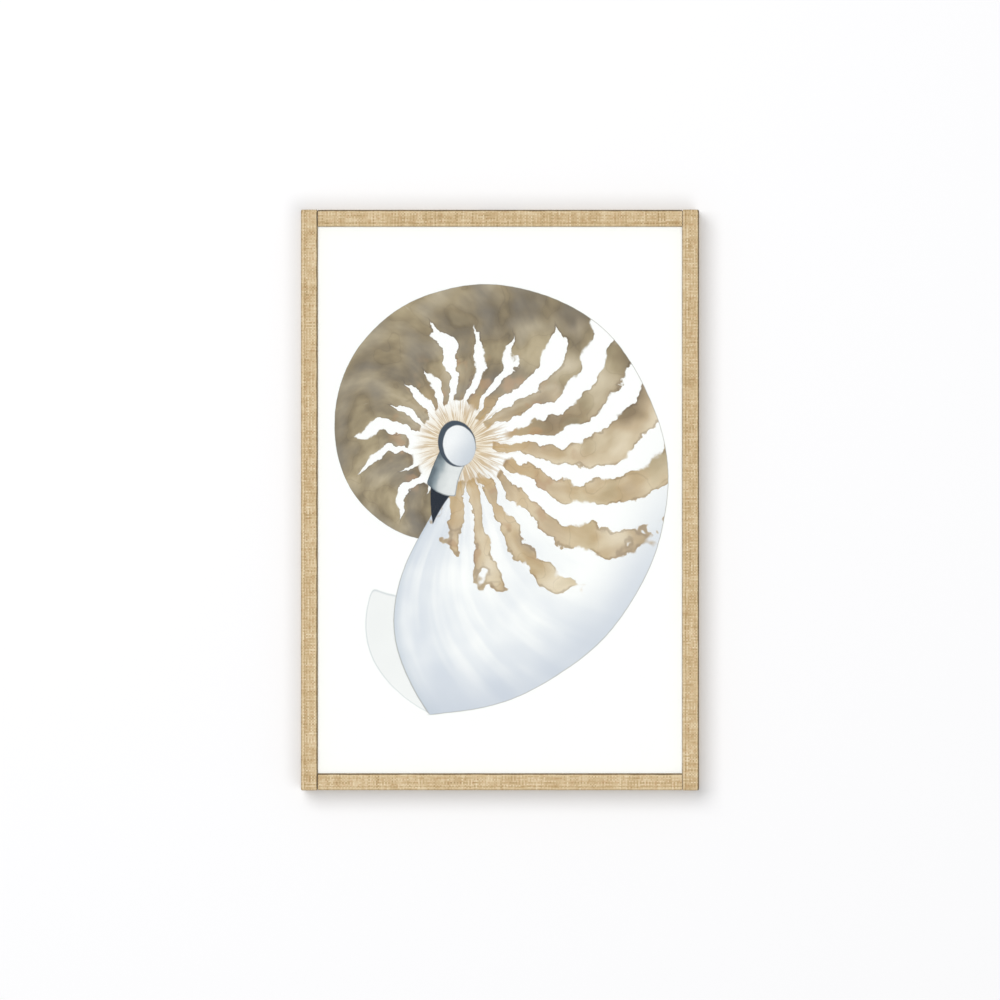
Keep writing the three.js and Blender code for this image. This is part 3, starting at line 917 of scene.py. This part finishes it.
    # Fine hairs of ochre round the middle.
    spin = vector(turn * 21, radius * 0.04, 0.0).noise(1.0, 2.0, 0.55)
    hair_reach = vector(turn * 7, 0.0, 0.0).noise(1.0, 2.0) * 50 + x * 0.12 + 28
    glow = radius.rise(52, 24) * inside
    colour = painted(glow * 0.5, colour, rgb(226, 202, 160))
    hairs = spin.rise(0.44, 0.58) * (hair_reach - radius).rise(-4, 20) * inside
    colour = painted(hairs * 0.7, colour, rgb(192, 160, 110))

    colour = with_callus(colour, drawn, cloud)

    # Pencil line round the whole, and the paper's tooth.
    edge = share_new.bell(1.0, 0.0025) * age_new.rise(-0.02, 0.02)
    edge = edge.math("MAXIMUM", share_old.bell(1.0, 0.005) * (1 - on_new))
    lip_line = age_new.bell(0.0, 0.004) * share_new.rise(1.0, 0.99) * share_new.rise(0.2, 0.3)
    edge = edge.math("MAXIMUM", lip_line)
    colour = painted(edge * (grain * 0.6 + 0.2), colour, rgb(120, 116, 110))
    tooth = place.noise(1400, 4.0, 0.65)
    normal = relief(tooth, 0.05 * MM, 0.4)
    dull = {"Roughness": 0.95, "Specular IOR Level": 0.1}
    finish_with(place, {"Base Color": colour, "Normal": normal, **dull})
    return material


dress("art_print", watercolour())


# Backing board. Brown hardboard, sawn a little smaller than the rabbet, that holds the print flat
# against the glass. The points press on its back.
def hardboard():
    material, place = new_material("brown_hardboard")
    fleck = place.noise(900, 4.0, 0.7)
    cloud = place.noise(35, 3.0)
    strand = place.noise(260, 2.0, 0.6, 2.0)
    colour = painted(fleck.rise(0.3, 0.75), rgb(126, 94, 64), rgb(168, 132, 94))
    colour = painted(cloud.rise(0.35, 0.7) * 0.4, colour, rgb(112, 82, 56))
    colour = painted(strand.rise(0.6, 0.72) * 0.5, colour, rgb(190, 156, 114))
    normal = relief(fleck + strand * 0.4, 0.1 * MM)
    finish_with(place, {"Base Color": colour, "Roughness": fleck * 0.2 + 0.7, "Normal": normal})
    return material


stands_for(eased("sawn_board", "backing_board", 0.25 * MM, hardboard()), "board", "backing_board")


# Framer's points. Pointed tabs of sheet steel, with a hole in the tail, are pressed into the
# rabbet's wall all round and hold the board in.
def middle_of(node):
    low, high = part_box(node)
    return (low + high) / 2


def points_all_round(steel):
    inputs = {"Across": "Float", "Up": "Float", "Stile Gap": "Float", "Rail Gap": "Float"}
    asked = new_tree("points_all_round", {**inputs, "Centre": "Vector", "Steel": "Material"})
    tab, out, up, stile_gap, rail_gap, centre, finish = asked
    sides = []
    for name, turn, _, _, _ in members:
        stile = name.endswith("stile")
        count = len([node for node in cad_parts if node.startswith(name + "_point")])
        reach, apart = (out, stile_gap) if stile else (up, rail_gap)
        start = vector(reach * -1, 0.0, apart * ((1 - count) / 2))
        row = {"Count": count, "Start Location": start, "Offset": vector(0.0, 0.0, apart)}
        row = tab.node("GeometryNodeMeshLine", {"mode": "OFFSET"}, row)
        tabs = row.node("GeometryNodeInstanceOnPoints", {}, {"Points": row, "Instance": tab})
        turned = {"Geometry": tabs, "Translation": centre, "Rotation": (0, turn, 0)}
        sides.append(tabs.node("GeometryNodeTransform", {}, turned))
    shape = tab.node("GeometryNodeJoinGeometry", {}, {"Geometry": sides})

    first = eased("first_point", "left_stile_point_1", 0.1 * MM, steel)
    first_mesh = first.data
    middle = middle_of("left_stile_point_1")
    for vertex in first_mesh.vertices:
        vertex.co -= middle
    rail_middle = middle_of("top_rail_point_1")
    values = {
        "Across": centre_x - middle.x,
        "Up": rail_middle.z - centre_z,
        "Stile Gap": abs(middle.z - middle_of("left_stile_point_2").z),
        "Rail Gap": 2 * abs(rail_middle.x - centre_x),
        "Centre": (centre_x, middle.y, centre_z),
        "Steel": steel,
    }
    bpy.data.objects.remove(first)
    return grown("framers_points", shape, finish, values, first_mesh)


stands_for(points_all_round(bright_steel), "steel", *[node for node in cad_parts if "_point_" in node])


# Hanger and its screws. A toothed strip with a raised middle is screwed to the back of the top
# rail, and hangs on a nail by one of its notches.
for name, node in (
    ("toothed_hanger", "sawtooth_hanger"),
    ("left_screw", "hanger_screw_left"),
    ("right_screw", "hanger_screw_right"),
):
    stands_for(eased(name, node, 0.12 * MM, bright_steel), "steel", node)


# Bumpers. Two soft rubber pads, stuck on near the lower corners of the back, keep the frame off
# the wall and steady it there.
def dark_rubber():
    material, place = new_material("grey_rubber")
    grain = place.noise(1500, 3.0)
    dust = place.noise(300, 3.0).rise(0.45, 0.75)
    colour = painted(dust * 0.4, rgb(58, 56, 54), rgb(104, 100, 95))
    normal = relief(grain, 0.05 * MM)
    finish_with(place, {"Base Color": colour, "Roughness": grain * 0.2 + 0.6, "Normal": normal})
    return material


rubber = dark_rubber()
for side in ("left", "right"):
    stands_for(eased(side + "_pad", "bumper_" + side, 0.35 * MM, rubber), "rubber", "bumper_" + side)


# Wall, floor and lamps. The picture hangs on a white wall above a pale floor. The wall and floor
# have lamps of their own, and the lamps that light the frame leave the glass out, so that it
# mirrors none of them.
def plain(name, colour, one_sided=False):
    material, place = new_material(name)
    shader = place.node("BsdfDiffuse", {}, {"Color": colour})
    if one_sided:
        back = place.node("NewGeometry", {}, {}, "Backfacing")
        clear = place.node("BsdfTransparent")
        shader = place.node("MixShader", {}, {0: back, 1: shader, 2: clear})
    place.node("OutputMaterial", {}, {"Surface": shader})
    return material


def sheet_of(name, corners, material):
    mesh = bpy.data.meshes.new(name)
    mesh.from_pydata(corners, [], [tuple(range(len(corners)))])
    mesh.materials.append(material)
    made = mesh_object(name, mesh)
    return made


ROOM = 6.0
FLOOR_DROP = 1.45
wall_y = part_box("bumper_left")[1].y
floor_z = centre_z - FLOOR_DROP
wall_corners = [
    (-ROOM, wall_y, floor_z),
    (ROOM, wall_y, floor_z),
    (ROOM, wall_y, ROOM),
    (-ROOM, wall_y, ROOM),
]
wall = sheet_of("wall", wall_corners, plain("white_wall", (1.0, 1.0, 1.01, 1.0), True))
wall.visible_shadow = False
wall.visible_diffuse = False
wall.visible_glossy = False
floor_corners = [
    (-ROOM, -ROOM, floor_z),
    (ROOM, -ROOM, floor_z),
    (ROOM, ROOM, floor_z),
    (-ROOM, ROOM, floor_z),
]
floor = sheet_of("floor", floor_corners, plain("pale_floor", (0.9, 0.9, 0.89, 1.0)))
floor.visible_diffuse = False
floor.visible_shadow = False

SKY = 0.36
SKY_SEEN = 0.92
scene = bpy.context.scene
world = bpy.data.worlds.new("studio")
world.use_nodes = True
world.node_tree.nodes.clear()
sky = Wire(world.node_tree.nodes.new("ShaderNodeLightPath").outputs["Is Camera Ray"])
glow = sky.node("Background", {}, {"Strength": sky * (SKY_SEEN - SKY) + SKY})
glow.node("OutputWorld", {}, {"Surface": glow})
scene.world = world

face_centre = type(left_low)((centre_x, face_y, centre_z))


def soft_box(name, place, size, share, link, *linked):
    """A square lamp aimed at the picture. Share is how much of full white it gives there. It
    lights only the linked objects, or all but them."""
    lamp = bpy.data.lights.new(name, "AREA")
    lamp.size = size
    made = bpy.data.objects.new(name, lamp)
    made.location = (centre_x + place[0], place[1], centre_z + place[2])
    away = face_centre - made.location
    lamp.energy = share * math.pi**2 * away.length_squared * away.length / abs(away.y)
    made.rotation_euler = away.to_track_quat("-Z", "Y").to_euler()
    scene.collection.objects.link(made)
    group = bpy.data.collections.new(name + "_reach")
    for one in linked:
        group.objects.link(one)
    made.light_linking.receiver_collection = group
    for one in group.collection_objects:
        one.light_linking.link_state = link


soft_box("wall_front", (0.0, -7.0, 0.0), 1.6, 0.09, "INCLUDE", wall)
soft_box("wall_side", (-2.3, -6.0, 2.3), 4.5, 0.49, "INCLUDE", wall)
soft_box("wall_counter", (1.9, -6.0, -1.9), 3.6, 0.22, "INCLUDE", wall)
soft_box("over_floor", (0.0, -1.2, 12.0), 12.0, 0.1, "INCLUDE", floor)
soft_box("front_left", (-0.9, -14.0, 0.7), 1.6, 0.49, "EXCLUDE", wall, floor, pane)
soft_box("front_right", (1.3, -14.0, -0.4), 1.6, 0.26, "EXCLUDE", wall, floor, pane)
soft_box("behind", (0.4, 6.0, 0.3), 1.6, 0.55, "EXCLUDE", wall, floor, pane)

# The camera looks square on to the picture, with the frame in the middle of its view.
VIEW_WIDTH = 1.097
CAMERA_DISTANCE = 6.0
camera = bpy.data.cameras.new("camera")
camera.sensor_width = 36
camera.lens = camera.sensor_width * CAMERA_DISTANCE / VIEW_WIDTH
camera_object = bpy.data.objects.new("camera", camera)
camera_object.location = (centre_x, face_y - CAMERA_DISTANCE, centre_z)
camera_object.rotation_euler = (math.pi / 2, 0, 0)
scene.collection.objects.link(camera_object)
scene.camera = camera_object
scene.view_settings.view_transform = "Standard"
